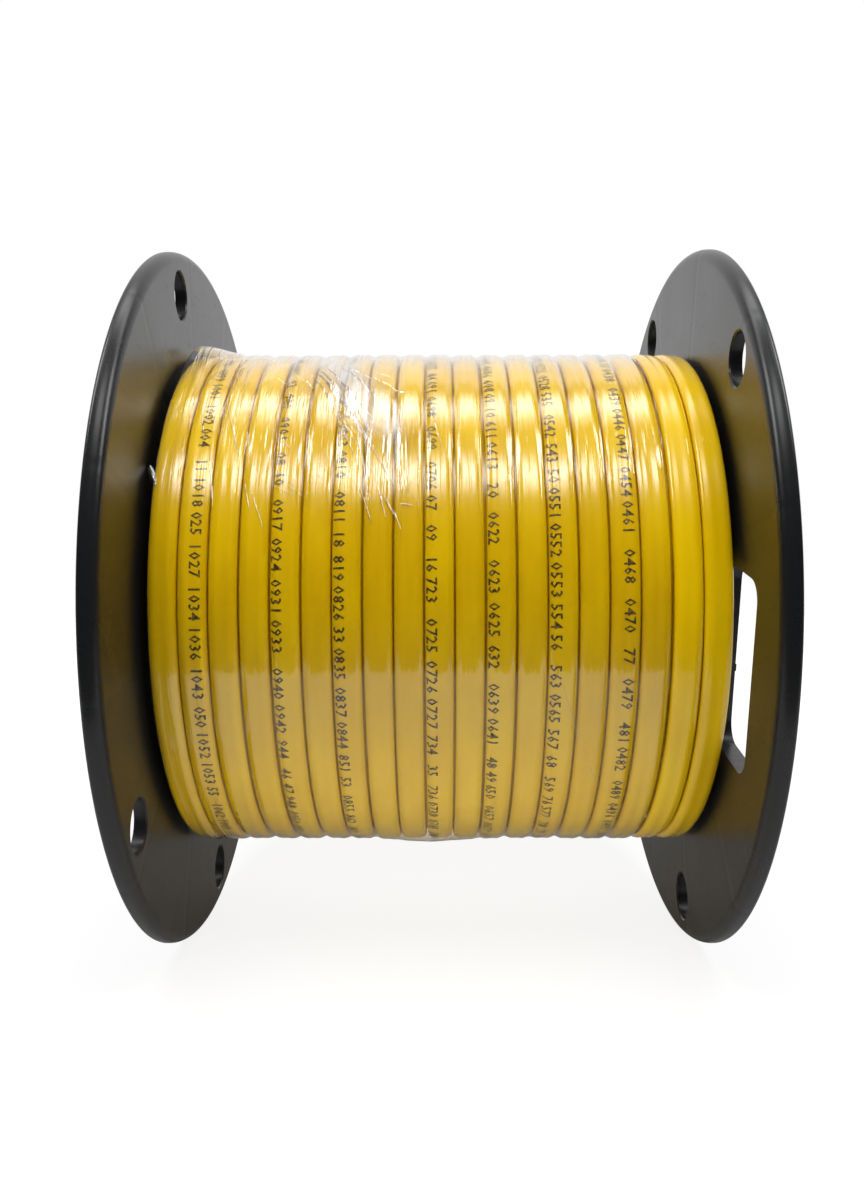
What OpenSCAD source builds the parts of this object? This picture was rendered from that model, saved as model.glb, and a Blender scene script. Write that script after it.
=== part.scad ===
// Bolted plastic reel wound with flat two-core building cable and wrapped in clear film.
// The reel's axis runs along X, Z is up, and the origin is the middle of the arbor bore.

/* [Reel] */
// Outside diameter of both flanges
flange_d = 305; // [295:1:335]
// Clear width between the flange faces
traverse = 216; // [180:1:250]
// Outside diameter of the drum that carries the cable
drum_d = 152; // [144:1:158]
// Wall of the drum
drum_wall = 3.5; // [3:0.1:4.5]
// Bore for the rod that carries the reel
arbor_d = 38.1; // [32:0.1:42]
// Wall of the tube that lines the arbor bore
arbor_wall = 3.5; // [2.5:0.1:4]

/* [Flange] */
// Thickness of the flange plate
plate_t = 4; // [3:0.1:4.4]
// Width of the flange at its rim
rim_w = 7; // [6.8:0.1:10]
// Radial depth of the thick rim
rim_band = 6; // [5:0.1:6.9]
// Rounding of the rim towards the cable
rim_fillet = 4.5; // [3:0.1:5]
// Rounding of the rim's outer edge
rim_edge = 1.6; // [0.8:0.1:2]
// Outside diameter of the ring that stiffens the outer face
ring_d = 228; // [218:1:236]
// Thickness of the tall ribs and rings
rib_t = 2.6; // [2:0.1:3.5]
// Number of ribs from the drum to the rim
ribs = 12; // [8:1:14]
// Turn of the ribs from the middle of the window
rib_phase = 5; // [3:1:7]
// Width of the low ribs between the ring and the rim
leader_w = 5; // [3:0.5:7]
// Height of the low ribs
leader_h = 1.1; // [0.6:0.1:1.6]
// Turn of each flange on the reel's axis
flange_spin = 193; // [180:1:200]

/* [Window and holes] */
// Width of the hand window
window_w = 72; // [60:1:78]
// Height of the hand window along the radius
window_h = 40; // [28:1:41]
// Distance from the reel's axis to the window's outer edge
window_out = 123; // [122:1:128]
// Corner radius of the window
window_r = 8; // [4:1:10]
// Width of the raised lip around the window
lip_w = 3; // [2:0.1:4]
// Height of the lip above the plate
lip_h = 2.6; // [1.5:0.1:2.9]
// Diameter of the tie holes near the rim
tie_hole_d = 20; // [14:0.5:21]
// Distance from the flange's edge to the middle of the tie holes
tie_hole_in = 17.5; // [16.5:0.5:21.5]
// Chamfer on the tie holes
tie_chamfer = 0.6; // [0.3:0.1:1]
// Width of the collar around each tie hole
collar_w = 2.5; // [1.5:0.1:3.5]
// Height of the collar above the plate
collar_h = 1; // [0.6:0.1:2]

/* [Fasteners] */
// Thread diameter of the bolts that draw the flanges together
bolt_d = 8; // [6:0.5:9]
// Diameter of the circle that the bolts stand on
bolt_circle_d = 104; // [100:1:106]
// Width of the bolt head and the nut across their flats
hex_af = 13; // [12:0.5:14]
// Height of the bolt head
head_h = 5.3; // [4:0.1:6]
// Height of the nut
nut_h = 6.8; // [5:0.1:7]
// Outside diameter of the washers
washer_d = 17; // [16:0.5:18]
// Thickness of the washers
washer_t = 1.6; // [1:0.1:2]
// Diameter of the pockets for the bolt heads and nuts
pocket_d = 22; // [20:0.5:23]
// Depth of the pockets behind the flange face
pocket_depth = 6; // [5:0.5:8]

/* [Cable] */
// Width of the flat cable
cable_w = 10.6; // [9:0.1:11.5]
// Thickness of the flat cable
cable_t = 4.7; // [4.2:0.1:5]
// Gap between neighbouring turns
turn_gap = 0.55; // [0.5:0.05:0.9]
// Number of layers on the drum
layers = 7; // [5:1:7]
// How far the winding sits off the middle, towards the right flange
winding_shift = 0.3; // [-1.5:0.1:1.5]
// Diameter of an insulated conductor
conductor_d = 3.1; // [2.8:0.1:3.2]
// Diameter of a copper core
core_d = 2.05; // [1.6:0.05:2.2]
// How far the conductors stand out of the jacket
bared = 3.5; // [2:0.5:4]
// Length of the start end inside the drum
start_tail = 34; // [20:1:36]

/* [Film] */
// Thickness of the wound-on stretch film
film_t = 0.25; // [0.2:0.05:0.5]
// How far the film dips between neighbouring turns
film_dip = 0.4; // [0.1:0.1:0.8]
// Turns at the right that the film leaves bare
bare_turns = 2; // [0:1:3]

/* [Hidden] */
$fn = 96;

flange_r = flange_d / 2;
drum_r = drum_d / 2;
arbor_r = arbor_d / 2;
ring_r = ring_d / 2;
tie_hole_r = flange_r - tie_hole_in;
tube_r = arbor_r + arbor_wall;         // outside of the arbor tube
fit_gap = 0.15;                        // between pieces that slot together
soft_gap = 0.3;                        // between the cable, the film and their neighbours
overlap = 0.5;                         // how far a rib or boss runs into the wall it joins

// Tie holes, as angles from the middle of the window
tie_angles = [-122, -54, 67.5, 131];

spigot_h = 8;                          // ring that centres the drum
spigot_t = 3.2;
spigot_r = drum_r - drum_wall - fit_gap;
hub_wall = 5;                          // boss around the arbor tube
hub_r = tube_r + fit_gap + hub_wall;
hub_depth = 12;
arbor_lip = 3;                         // stops the tube at each end
hub_ribs = 8;

bolts = 4;
bolt_phase = 45;
bolt_r = bolt_circle_d / 2;
bolt_gap = 0.5;                        // around the bolt in the flange
thread_gap = 0.05;                     // around the bolt in the nut
thread_out = 2.8;                      // bolt end past the nut
pocket_floor = 4;
pocket_wall = 3;
seat_x = traverse / 2 - pocket_depth;  // where the washers bear
hex_r = hex_af / 2 / cos(30);

pitch = cable_w + turn_gap;
layer_gap = 0.05;                      // between the layers
layer_h = cable_t + layer_gap;
turns = floor((traverse - 2 * soft_gap) / pitch);
first_x = winding_shift + (turns - 1) * pitch / 2; // middle of the turn beside the right flange
wound_r = drum_r + layers * layer_h;   // outside of the cable
path_r = wound_r - cable_t / 2;        // middle of the outer layer's cable
rings = 24;                            // rings in a turn of the outer layer
chord_drop = 1 - cos(180 / rings);     // how far a ring-to-ring chord dips, as a share of the radius
under_r = (wound_r - cable_t) * (1 - chord_drop) - soft_gap;
film_r = wound_r + soft_gap + film_dip; // so that its dips clear the turns where they cross

cross_rings = 4;                       // rings over which a turn steps to the next
cross_start = -30;                     // where that step begins
straight = 1.1 * cable_w;              // straight length at the winding's ends

start_angle = 0;                       // where the start end enters the drum
start_x = -traverse / 2 + spigot_h + cable_w;

module on_bolts(from_angle)
    for (i = [0 : bolts - 1])
        rotate([0, 0, from_angle + i * 360 / bolts]) translate([bolt_r, 0, 0]) children();

module ring(r_out, r_in, z, h)
    translate([0, 0, z]) difference() {
        cylinder(r = r_out, h = h);
        translate([0, 0, -1]) cylinder(r = r_in, h = h + 2);
    }

module rounded_box(w, h, r, z, depth)
    translate([0, 0, z]) linear_extrude(depth) union() {
        square([w - 2 * r, h], center = true);
        square([w, h - 2 * r], center = true);
        for (x = [-1, 1], y = [-1, 1])
            translate([x * (w / 2 - r), y * (h / 2 - r)]) circle(r = r);
    }

// What rounding removes from a square corner at the origin that points to +x, -y
module corner_waste(r)
    difference() {
        translate([-r, -1]) square([r + 1, r + 1]);
        translate([-r, r]) circle(r = r);
    }

// Half section of the plate and its rim, with the cable side at y = 0
module rim_profile()
    difference() {
        square([flange_r, rim_w]);
        translate([-1, plate_t]) square([flange_r - rim_band + 1, rim_w]);
        translate([flange_r, 0]) corner_waste(rim_fillet);
        translate([flange_r, rim_w]) mirror([0, 1]) corner_waste(rim_edge);
    }

module outer_face_ribs() {
    rib_h = rim_w - plate_t;
    ring(ring_r, ring_r - rib_t, plate_t - overlap, rib_h + overlap);
    ring(drum_r, drum_r - rib_t, plate_t - overlap, rib_h + overlap);
    for (i = [0 : ribs - 1]) rotate([0, 0, rib_phase + i * 360 / ribs]) {
        translate([drum_r - overlap, -rib_t / 2, plate_t - overlap])
            cube([ring_r - drum_r, rib_t, rib_h + overlap]);
        translate([ring_r - rib_t / 2, -leader_w / 2, plate_t - overlap])
            cube([flange_r - rim_band - ring_r + rib_t, leader_w, leader_h + overlap]);
    }
    for (i = [0 : hub_ribs - 1]) rotate([0, 0, bolt_phase - flange_spin + i * 360 / hub_ribs])
        translate([hub_r - overlap, -rib_t / 2, plate_t - overlap])
            cube([drum_r - hub_r, rib_t, rib_h + overlap]);
}

module window_place()
    rotate([0, 0, -90]) translate([0, window_out - window_h / 2, 0]) children();

// Places the tie holes in the flange moulding
module on_tie_holes()
    for (a = tie_angles) rotate([0, 0, a]) translate([tie_hole_r, 0, 0]) children();

// One flange moulding: the cable side is at z = 0, the window points to +x
module flange_moulding()
    difference() {
        union() {
            rotate_extrude() rim_profile();
            outer_face_ribs();
            ring(spigot_r, spigot_r - spigot_t, -spigot_h, spigot_h + overlap);
            translate([0, 0, -hub_depth]) cylinder(r = hub_r, h = hub_depth + rim_w);
            on_bolts(bolt_phase - flange_spin)
                translate([0, 0, -pocket_depth - pocket_floor])
                    cylinder(d = pocket_d + 2 * pocket_wall, h = pocket_depth + pocket_floor + plate_t);
            window_place()
                rounded_box(window_w + 2 * lip_w, window_h + 2 * lip_w, window_r + lip_w,
                    plate_t - overlap, lip_h + overlap);
            on_tie_holes() translate([0, 0, plate_t - overlap])
                cylinder(d = tie_hole_d + 2 * collar_w, h = collar_h + overlap);
        }
        window_place()
            rounded_box(window_w, window_h, window_r, -1, rim_w + 2);
        on_tie_holes() {
            translate([0, 0, -1]) cylinder(d = tie_hole_d, h = rim_w + 2);
            translate([0, 0, -tie_chamfer])
                cylinder(d1 = tie_hole_d + 4 * tie_chamfer, d2 = tie_hole_d, h = 2 * tie_chamfer);
        }
        translate([0, 0, -hub_depth - 1]) cylinder(r = arbor_r, h = hub_depth + rim_w + 2);
        translate([0, 0, -hub_depth - 1]) cylinder(r = tube_r + fit_gap, h = hub_depth + 1 + rim_w - arbor_lip);
        on_bolts(bolt_phase - flange_spin) {
            translate([0, 0, -pocket_depth]) cylinder(d = pocket_d, h = pocket_depth + rim_w + 1);
            translate([0, 0, -pocket_depth - pocket_floor - 1])
                cylinder(d = bolt_d + 2 * bolt_gap, h = pocket_floor + 2);
        }
    }

module right_side()
    translate([traverse / 2, 0, 0]) rotate([90, 0, 90]) rotate([0, 0, flange_spin]) children();

module right_flange() color([0.06, 0.06, 0.065]) right_side() flange_moulding();

// The same moulding, turned round to face the other
module left_flange() color([0.06, 0.06, 0.065]) rotate([0, 0, 180]) right_side() flange_moulding();

module along_x(x0, length)
    translate([x0, 0, 0]) rotate([90, 0, 90]) linear_extrude(length) children();

module drum_barrel() color([0.1, 0.1, 0.105]) difference() {
    along_x(-traverse / 2, traverse) difference() {
        circle(r = drum_r);
        circle(r = drum_r - drum_wall);
    }
    start_slot();
}

// Slot in the drum for the start end
module start_slot()
    rotate([start_angle, 0, 0]) translate([start_x, drum_r - drum_wall / 2, 0])
        cube([cable_w + 2 * soft_gap, 3 * drum_wall, cable_t + 2 * soft_gap], center = true);

module arbor_tube() color([0.2, 0.2, 0.21])
    along_x(-traverse / 2 - rim_w + arbor_lip, traverse + 2 * (rim_w - arbor_lip)) difference() {
        circle(r = tube_r);
        circle(r = arbor_r);
    }

// Bolts lie along X, with their heads in the left flange
module on_bolts_x() rotate([90, 0, 90]) on_bolts(bolt_phase) children();

module hexagon(h) cylinder(r = hex_r, h = h, $fn = 6);

module tie_bolts() color("silver") on_bolts_x() {
    translate([0, 0, -seat_x - washer_t - head_h]) hexagon(head_h);
    translate([0, 0, -seat_x - washer_t - overlap])
        cylinder(d = bolt_d, h = 2 * (seat_x + washer_t) + nut_h + thread_out + overlap);
}

module washer(z) translate([0, 0, z]) difference() {
    cylinder(d = washer_d, h = washer_t);
    translate([0, 0, -1]) cylinder(d = bolt_d + bolt_gap, h = washer_t + 2);
}

module head_washers() color("silver") on_bolts_x() washer(-seat_x - washer_t);

module nut_washers() color("silver") on_bolts_x() washer(seat_x);

module tie_nuts() color("silver") on_bolts_x() translate([0, 0, seat_x + washer_t]) difference() {
    hexagon(nut_h);
    translate([0, 0, -1]) cylinder(d = bolt_d + 2 * thread_gap, h = nut_h + 2);
}

// The layers under the outer one
module cable_inner_layers() color([0.85, 0.66, 0.05])
    along_x(first_x - (turns - 1) * pitch - cable_w / 2, turns * pitch - turn_gap) difference() {
        circle(r = under_r);
        circle(r = drum_r + fit_gap);
    }

// ---- The outer layer: parallel turns that each step to the next behind the reel

last_ring = rings * (turns - 1) + rings - cross_rings;
function smooth(u) = u * u * (3 - 2 * u);
function ring_angle(i) = cross_start + (cross_rings + i) * 360 / rings;
function turn_share(i) = max(0, (i % rings) - (rings - cross_rings)) / cross_rings;
function ring_x(i) = first_x - pitch * (floor(i / rings) + smooth(turn_share(i)));
function radial(a) = [0, cos(a), sin(a)];
function ring_middle(i) = [ring_x(i), 0, 0] + path_r * radial(ring_angle(i));

// The cable's flat section, as offsets along the axis and outwards
flat_half = cable_w / 2 - cable_t / 2;
section = [[cable_w / 2, 0], [flat_half, cable_t / 2], [-flat_half, cable_t / 2],
    [-cable_w / 2, 0], [-flat_half, -cable_t / 2], [flat_half, -cable_t / 2]];
sides = len(section);
function section_at(middle, out) = [for (s = section) middle + s[0] * [1, 0, 0] + s[1] * out];

// An end stops part way along its last chord, square to it
function unit(v) = v / norm(v);
function end_middle(from, to) = ring_middle(from) + straight * unit(ring_middle(to) - ring_middle(from));
function end_out(from, to) = radial((ring_angle(from) + ring_angle(to)) / 2);
wound_rings = concat(
    [section_at(end_middle(1, 0), end_out(0, 1))],
    [for (i = [1 : last_ring - 1]) section_at(ring_middle(i), radial(ring_angle(i)))],
    [section_at(end_middle(last_ring - 1, last_ring), end_out(last_ring - 1, last_ring))]);

// Distance from point p to the line piece from a to b
function to_piece(p, a, b) =
    let (t = max(0, min(1, (p - a) * (b - a) / ((b - a) * (b - a)))))
    norm(p - a - t * (b - a));
left_edge = 3;
right_edge = 0;
least_gap = min([for (i = [0 : len(wound_rings) - rings - 3]) for (j = [rings - 2 : rings + 1])
    to_piece(wound_rings[i][left_edge], wound_rings[i + j][right_edge], wound_rings[i + j + 1][right_edge])]);
echo(str("outer layer: ", turns, " turns, least gap to itself ", least_gap, " mm"));
echo(str("cable on the reel: ",
    round(turns * PI * 2 * layers * (drum_r + layers * layer_h / 2) / 100) / 10, " m"));

function tube_faces(n) = concat(
    [for (i = [0 : n - 2]) for (k = [0 : sides - 1])
        let (a = i * sides + k, b = i * sides + (k + 1) % sides)
        each [[a, b, b + sides], [a, b + sides, a + sides]]],
    [for (k = [1 : sides - 2]) [0, k + 1, k]],
    [for (k = [1 : sides - 2]) [(n - 1) * sides, (n - 1) * sides + k, (n - 1) * sides + k + 1]]);

module cable_outer_layer() color([0.85, 0.66, 0.05])
    polyhedron(points = [for (r = wound_rings) each r], faces = tube_faces(len(wound_rings)), convexity = 20);

// ---- Clear film round the winding, dipping between the turns

film_right = first_x + pitch / 2 - bare_turns * pitch;
function film_line(r) = concat([[r - film_dip, film_right]],
    [for (k = [bare_turns : turns - 1]) let (x = first_x - k * pitch)
        each [[r, x + flat_half], [r, x - flat_half], [r - film_dip, x - pitch / 2]]]);
function reversed(v) = [for (i = [len(v) - 1 : -1 : 0]) v[i]];

module film_wrap() color([0.95, 0.95, 0.92, 0.3])
    rotate([90, 0, 90]) rotate_extrude()
        polygon(concat(film_line(film_r), reversed(film_line(film_r + film_t))));

// ---- Cable ends: the jacket leaves z = 0 and the conductors stand out of it

conductor_x = flat_half;
paper_w = 2 * (conductor_x - conductor_d / 2) - 2 * fit_gap;

// Child 0 at the place of the outer end, under the film
module outer_end_place() {
    a = (ring_angle(last_ring) + ring_angle(last_ring - 1)) / 2;
    translate(end_middle(last_ring - 1, last_ring)) rotate([a, 0, 0]) children();
}
outer_end_l = 2 * path_r * sin(180 / rings) - straight - bared;

module start_end_place()
    rotate([start_angle, 0, 0]) translate([start_x, drum_r, 0]) rotate([90, 0, 0]) children();

module flat_section(w, t) union() {
    square([w - t, t], center = true);
    for (x = [-1, 1]) translate([x * (w - t) / 2, 0]) circle(d = t);
}

module end_jacket(length) color([0.85, 0.66, 0.05]) linear_extrude(length) difference() {
    flat_section(cable_w, cable_t);
    flat_section(2 * conductor_x + conductor_d + 2 * fit_gap, conductor_d + 2 * fit_gap);
}

module end_wire(side, length) translate([side * conductor_x, 0, 0]) linear_extrude(length + bared) difference() {
    circle(d = conductor_d);
    circle(d = core_d + fit_gap / 2);
}

module end_copper(length) color([0.72, 0.4, 0.2]) for (side = [-1, 1])
    translate([side * conductor_x, 0, 0]) cylinder(d = core_d, h = length + bared);

module end_ground(length) color([0.72, 0.4, 0.2]) cylinder(d = core_d, h = length + bared);

module end_paper(length) color([0.75, 0.62, 0.45]) linear_extrude(length) difference() {
    square([paper_w, conductor_d], center = true);
    circle(d = core_d + fit_gap);
}

module outer_end_jacket() outer_end_place() end_jacket(outer_end_l);
module outer_end_black_wire() color([0.05, 0.05, 0.05]) outer_end_place() end_wire(-1, outer_end_l);
module outer_end_white_wire() color([0.92, 0.92, 0.9]) outer_end_place() end_wire(1, outer_end_l);
module outer_end_copper_cores() outer_end_place() end_copper(outer_end_l);
module outer_end_ground_wire() outer_end_place() end_ground(outer_end_l);
module outer_end_paper() outer_end_place() end_paper(outer_end_l);

module start_end_jacket() start_end_place() end_jacket(start_tail);
module start_end_black_wire() color([0.05, 0.05, 0.05]) start_end_place() end_wire(-1, start_tail);
module start_end_white_wire() color([0.92, 0.92, 0.9]) start_end_place() end_wire(1, start_tail);
module start_end_copper_cores() start_end_place() end_copper(start_tail);
module start_end_ground_wire() start_end_place() end_ground(start_tail);
module start_end_paper() start_end_place() end_paper(start_tail);

left_flange();
right_flange();
drum_barrel();
arbor_tube();
tie_bolts();
head_washers();
nut_washers();
tie_nuts();
cable_inner_layers();
cable_outer_layer();
film_wrap();
outer_end_jacket();
outer_end_black_wire();
outer_end_white_wire();
outer_end_copper_cores();
outer_end_ground_wire();
outer_end_paper();
start_end_jacket();
start_end_black_wire();
start_end_white_wire();
start_end_copper_cores();
start_end_ground_wire();
start_end_paper();
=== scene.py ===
import math
import random
from math import cos, hypot, pi, radians, sin

import bmesh
import bpy
from mathutils import Matrix, Vector, noise


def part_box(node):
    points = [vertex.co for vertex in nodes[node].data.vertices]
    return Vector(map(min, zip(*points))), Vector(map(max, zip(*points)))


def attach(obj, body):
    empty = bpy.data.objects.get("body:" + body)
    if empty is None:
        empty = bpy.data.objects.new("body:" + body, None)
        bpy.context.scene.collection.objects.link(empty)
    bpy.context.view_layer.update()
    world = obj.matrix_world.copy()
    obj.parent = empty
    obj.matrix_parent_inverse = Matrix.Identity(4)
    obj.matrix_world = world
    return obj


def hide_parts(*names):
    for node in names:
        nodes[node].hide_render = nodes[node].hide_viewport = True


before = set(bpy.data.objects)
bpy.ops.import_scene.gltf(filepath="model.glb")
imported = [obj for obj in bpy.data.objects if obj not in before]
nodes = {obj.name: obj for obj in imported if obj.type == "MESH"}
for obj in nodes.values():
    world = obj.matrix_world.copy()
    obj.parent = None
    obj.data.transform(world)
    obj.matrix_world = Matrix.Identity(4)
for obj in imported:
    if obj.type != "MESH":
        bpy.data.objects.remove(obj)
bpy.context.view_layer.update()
scene = bpy.context.scene
mm = 0.001


# Shader maths: a wrapped socket takes part in plain arithmetic
def operation(name, swapped=False):
    def apply(value, *others):
        values = (*others, value) if swapped else (value, *others)
        return value.graph.node("Math", {"operation": name}, values)
    return apply


class Value:
    def __init__(self, graph, socket):
        self.graph = graph
        self.socket = socket

    __add__ = __radd__ = operation("ADD")
    __sub__ = operation("SUBTRACT")
    __rsub__ = operation("SUBTRACT", swapped=True)
    __mul__ = __rmul__ = operation("MULTIPLY")
    __truediv__ = operation("DIVIDE")
    __pow__ = operation("POWER")
    fraction = operation("FRACT")
    size = operation("ABSOLUTE")
    root = operation("SQRT")
    atMost = operation("MINIMUM")

    # One value below low, another above high, smooth between them
    def ramp(self, low, high, start=0.0, end=1.0):
        settings = {"interpolation_type": "SMOOTHSTEP"}
        return self.graph.node("MapRange", settings, {0: self, 1: low, 2: high, 3: start, 4: end})


# Makes the nodes of a material, a lamp or the world
class Graph:
    def __init__(self, tree):
        self.tree = tree

    def node(self, kind, settings, sockets, output=0):
        made = self.tree.nodes.new("ShaderNode" + kind)
        for name, value in settings.items():
            if name == "stops":
                for stop, (place, colour) in zip(self.stops(made, len(value)), value):
                    stop.position = place
                    stop.color = (*colour, 1)
            else:
                setattr(made, name, value)
        pairs = sockets.items() if isinstance(sockets, dict) else enumerate(sockets)
        for key, value in pairs:
            self.feed(made.inputs[key], value)
        return Value(self, made.outputs[output])

    def stops(self, made, count):
        while len(made.color_ramp.elements) < count:
            made.color_ramp.elements.new(1)
        return made.color_ramp.elements

    def feed(self, socket, value):
        if isinstance(value, Value):
            self.tree.links.new(value.socket, socket)
        else:
            socket.default_value = value

    def place(self, scale=(1, 1, 1), turn=(0, 0, 0), uv=None):
        if uv:
            where = self.node("UVMap", {"uv_map": uv}, {})
        else:
            where = self.node("TexCoord", {}, {}, output="Object")
        return self.node("Mapping", {}, {"Vector": where, "Rotation": turn, "Scale": scale})

    def split(self, vector):
        return [self.node("SeparateXYZ", {}, {0: vector}, output=i) for i in range(3)]

    def cloud(self, where, scale, detail=2.0, roughness=0.5, distortion=0.0):
        sockets = {"Vector": where, "Scale": scale, "Detail": detail, "Roughness": roughness,
                   "Distortion": distortion}
        return self.node("TexNoise", {}, sockets)

    def specks(self, where, scale):
        return self.node("TexVoronoi", {}, {"Vector": where, "Scale": scale})

    def blend(self, share, first, second):
        sockets = {0: share, 6: first, 7: second}
        return self.node("Mix", {"data_type": "RGBA"}, sockets, output=2)

    def bump(self, height, distance):
        return self.node("Bump", {}, {"Height": height, "Distance": distance, "Strength": 1.0})


class Finish(Graph):
    def __init__(self, name, **constants):
        self.material = bpy.data.materials.new(name)
        self.material.use_nodes = True
        super().__init__(self.material.node_tree)
        self.shader = self.tree.nodes["Principled BSDF"]
        for socket, value in constants.items():
            self.shader.inputs[socket.replace("_", " ")].default_value = value

    def drive(self, **sockets):
        for name, value in sockets.items():
            self.feed(self.shader.inputs[name.replace("_", " ")], value)
        return self.material


def rgb(red, green, blue):
    return (red, green, blue, 1)


def grey(level):
    return rgb(level, level, level)


# The finishes. Sink marks show on the inner face where ribs and a ring stand on the outer one
def reelBlack(name, ribTurn):
    black = {"base": rgb(0.010, 0.0105, 0.0115), "dusty": rgb(0.045, 0.045, 0.047), "ribs": 12,
             "ribWidth": 3.4 * mm, "ribsFrom": (76 * mm, 82 * mm),
             "ringRadius": 112.7 * mm, "ringWidth": 3.0 * mm}
    f = Finish(name, IOR=1.5)
    where = f.place()
    y, z = f.split(where)[1:]
    radius = (y * y + z * z).root()
    angle = f.node("Math", {"operation": "ARCTAN2"}, (z, y))
    sector = 2 * pi / black["ribs"]
    counted = angle / sector - ribTurn * black["ribs"] / 360 + 20.5    # above 0, a rib at each half
    aside = (counted.fraction() - 0.5).size() * sector * radius
    ribSink = 1 - aside.ramp(0, black["ribWidth"])
    fade = radius.ramp(*black["ribsFrom"])
    ringSink = 1 - (radius - black["ringRadius"]).size().ramp(0, black["ringWidth"])
    grain = f.cloud(where, 2600, 3)
    mottle = f.cloud(where, 38, 3)
    stretched = f.cloud(f.place(scale=(30, 9, 70)), 9, 4, 0.6)
    sparse = f.cloud(where, 30, 1).ramp(0.62, 0.66)
    dust = (1 - f.specks(where, 130).ramp(0.02, 0.05)) * sparse
    scuff = stretched.ramp(0.60, 0.70)
    height = grain * 0.012 + mottle * 0.4 - (ribSink * fade + ringSink * 0.5) * 0.55 + dust * 0.15
    colour = f.blend(dust * 0.7 + scuff * 0.06, black["base"], black["dusty"])
    return f.drive(Base_Color=colour, Roughness=0.22 + mottle * 0.08 + grain * 0.06 + scuff * 0.06,
                   Normal=f.bump(height, 0.10 * mm))


def plainPlastic(name, colour, roughness):
    f = Finish(name, IOR=1.48)
    streaks = f.cloud(f.place(scale=(4, 120, 120)), 12, 3)
    grain = f.cloud(f.place(), 900, 3)
    darker = tuple(0.7 * c for c in colour)
    return f.drive(Base_Color=f.blend(streaks, rgb(*darker), rgb(*colour)),
                   Roughness=roughness + streaks * 0.12, Normal=f.bump(grain * 0.4 + streaks, 0.05 * mm))


def zincPlate():
    f = Finish("zincPlate", Metallic=1.0)
    cloudy = f.cloud(f.place(), 160, 4, 0.6)
    marks = f.cloud(f.place(scale=(1, 30, 30)), 90, 3)
    stops = [(0.3, (0.46, 0.47, 0.49)), (0.7, (0.72, 0.72, 0.70))]
    tint = f.node("ValToRGB", {"stops": stops}, {0: cloudy})
    return f.drive(Base_Color=tint, Roughness=0.2 + marks * 0.22,
                   Normal=f.bump(marks + cloudy * 0.4, 0.02 * mm))


def yellowJacket():
    f = Finish("yellowJacket", IOR=1.5)
    f.shader.inputs["Coat Roughness"].default_value = 0.05
    f.shader.inputs["Specular IOR Level"].default_value = 0.35
    drawn = f.cloud(f.place(uv="jacket", scale=(2.5, 16, 1)), 6, 3, 0.6)
    slow = f.cloud(f.place(uv="jacket", scale=(18, 1.2, 1)), 1.0, 2)
    ripple = f.cloud(f.place(uv="jacket", scale=(150, 2, 1)), 1.0, 2)
    sparse = f.cloud(f.place(), 45, 1).ramp(0.60, 0.66)
    specks = (1 - f.specks(f.place(), 210).ramp(0.03, 0.075)) * sparse
    warm = f.blend(slow.ramp(0.35, 0.7), rgb(0.74, 0.455, 0.0), rgb(0.82, 0.535, 0.0))
    colour = f.blend(specks * 0.5, warm, rgb(0.36, 0.25, 0.03))
    return f.drive(Base_Color=colour, Roughness=0.17 + drawn * 0.10, Coat_Weight=0.5 + slow * 0.3,
                   Normal=f.bump(drawn * 0.22 + ripple * 0.65 + specks * 0.2, 0.09 * mm))


def printedInk():
    f = Finish("printedInk", IOR=1.5)
    worn = f.cloud(f.place(), 900, 4, 0.7).ramp(0.42, 0.66)
    colour = f.blend(worn, rgb(0.045, 0.030, 0.008), rgb(0.26, 0.165, 0.010))
    return f.drive(Base_Color=colour, Roughness=0.35 + worn * 0.2)


# Pleats run round the reel everywhere, and creases cross them where the film is crinkled
def clearFilm():
    f = Finish("clearFilm", Metallic=1.0)
    uv = {"uv": "film"}
    long = f.cloud(f.place(turn=(0, 0, 0.62), scale=(200, 10, 1), **uv), 1.0, 3, 0.55, 0.4)
    cross = f.cloud(f.place(turn=(0, 0, -0.25), scale=(340, 22, 1), **uv), 1.0, 2, 0.5, 0.3)
    soft = f.cloud(f.place(scale=(40, 40, 1), **uv), 1.0, 3)
    pleats = f.cloud(f.place(scale=(440, 20, 1), **uv), 1.0, 2, 0.5)
    # haze of the film, with a painted sheen over the top of the reel, makes it reflect more and rougher
    milky = f.node("Attribute", {"attribute_name": "milky"}, {}, output="Fac")
    crinkled = f.node("Attribute", {"attribute_name": "crinkled"}, {}, output="Fac")
    ridges = (1 - (long - 0.5).size() * 2) ** 8
    finer = (1 - (cross - 0.5).size() * 2) ** 10
    height = ridges * crinkled * 0.65 + finer * (crinkled * 0.2 + 0.04) + soft * 0.3 + pleats * 1.5
    normal = f.bump(height, 0.35 * mm)
    f.drive(Base_Color=rgb(0.96, 0.96, 0.95), Normal=normal, Roughness=0.055 + soft * 0.06 + milky * 0.3)
    edgeOn = f.node("LayerWeight", {}, {"Blend": 0.5, "Normal": normal}, output="Facing")
    oneFace = edgeOn ** 5 * 0.96 + 0.04      # the same from both sides, as a thin sheet is
    bothFaces = oneFace * 2 / (oneFace + 1)
    # the share that reflects: both faces, crease ridges, haze and the painted sheen at the top
    haze = (bothFaces + ridges * crinkled * 0.10 + milky * (ridges * 0.5 + 0.25)).atMost(0.92)
    clear = f.node("BsdfTransparent", {}, {"Color": grey(1)})
    mixed = f.node("MixShader", {}, {0: haze, 1: clear, 2: Value(f, f.shader.outputs[0])})
    f.feed(f.tree.nodes["Material Output"].inputs["Surface"], mixed)
    return f.material


def wireNylon(name, dark, light):
    f = Finish(name, IOR=1.53)
    streaks = f.cloud(f.place(scale=(200, 200, 200)), 2, 3)
    return f.drive(Base_Color=f.blend(streaks, rgb(*dark), rgb(*light)),
                   Roughness=0.14 + streaks * 0.14, Normal=f.bump(streaks, 0.03 * mm))


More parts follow.
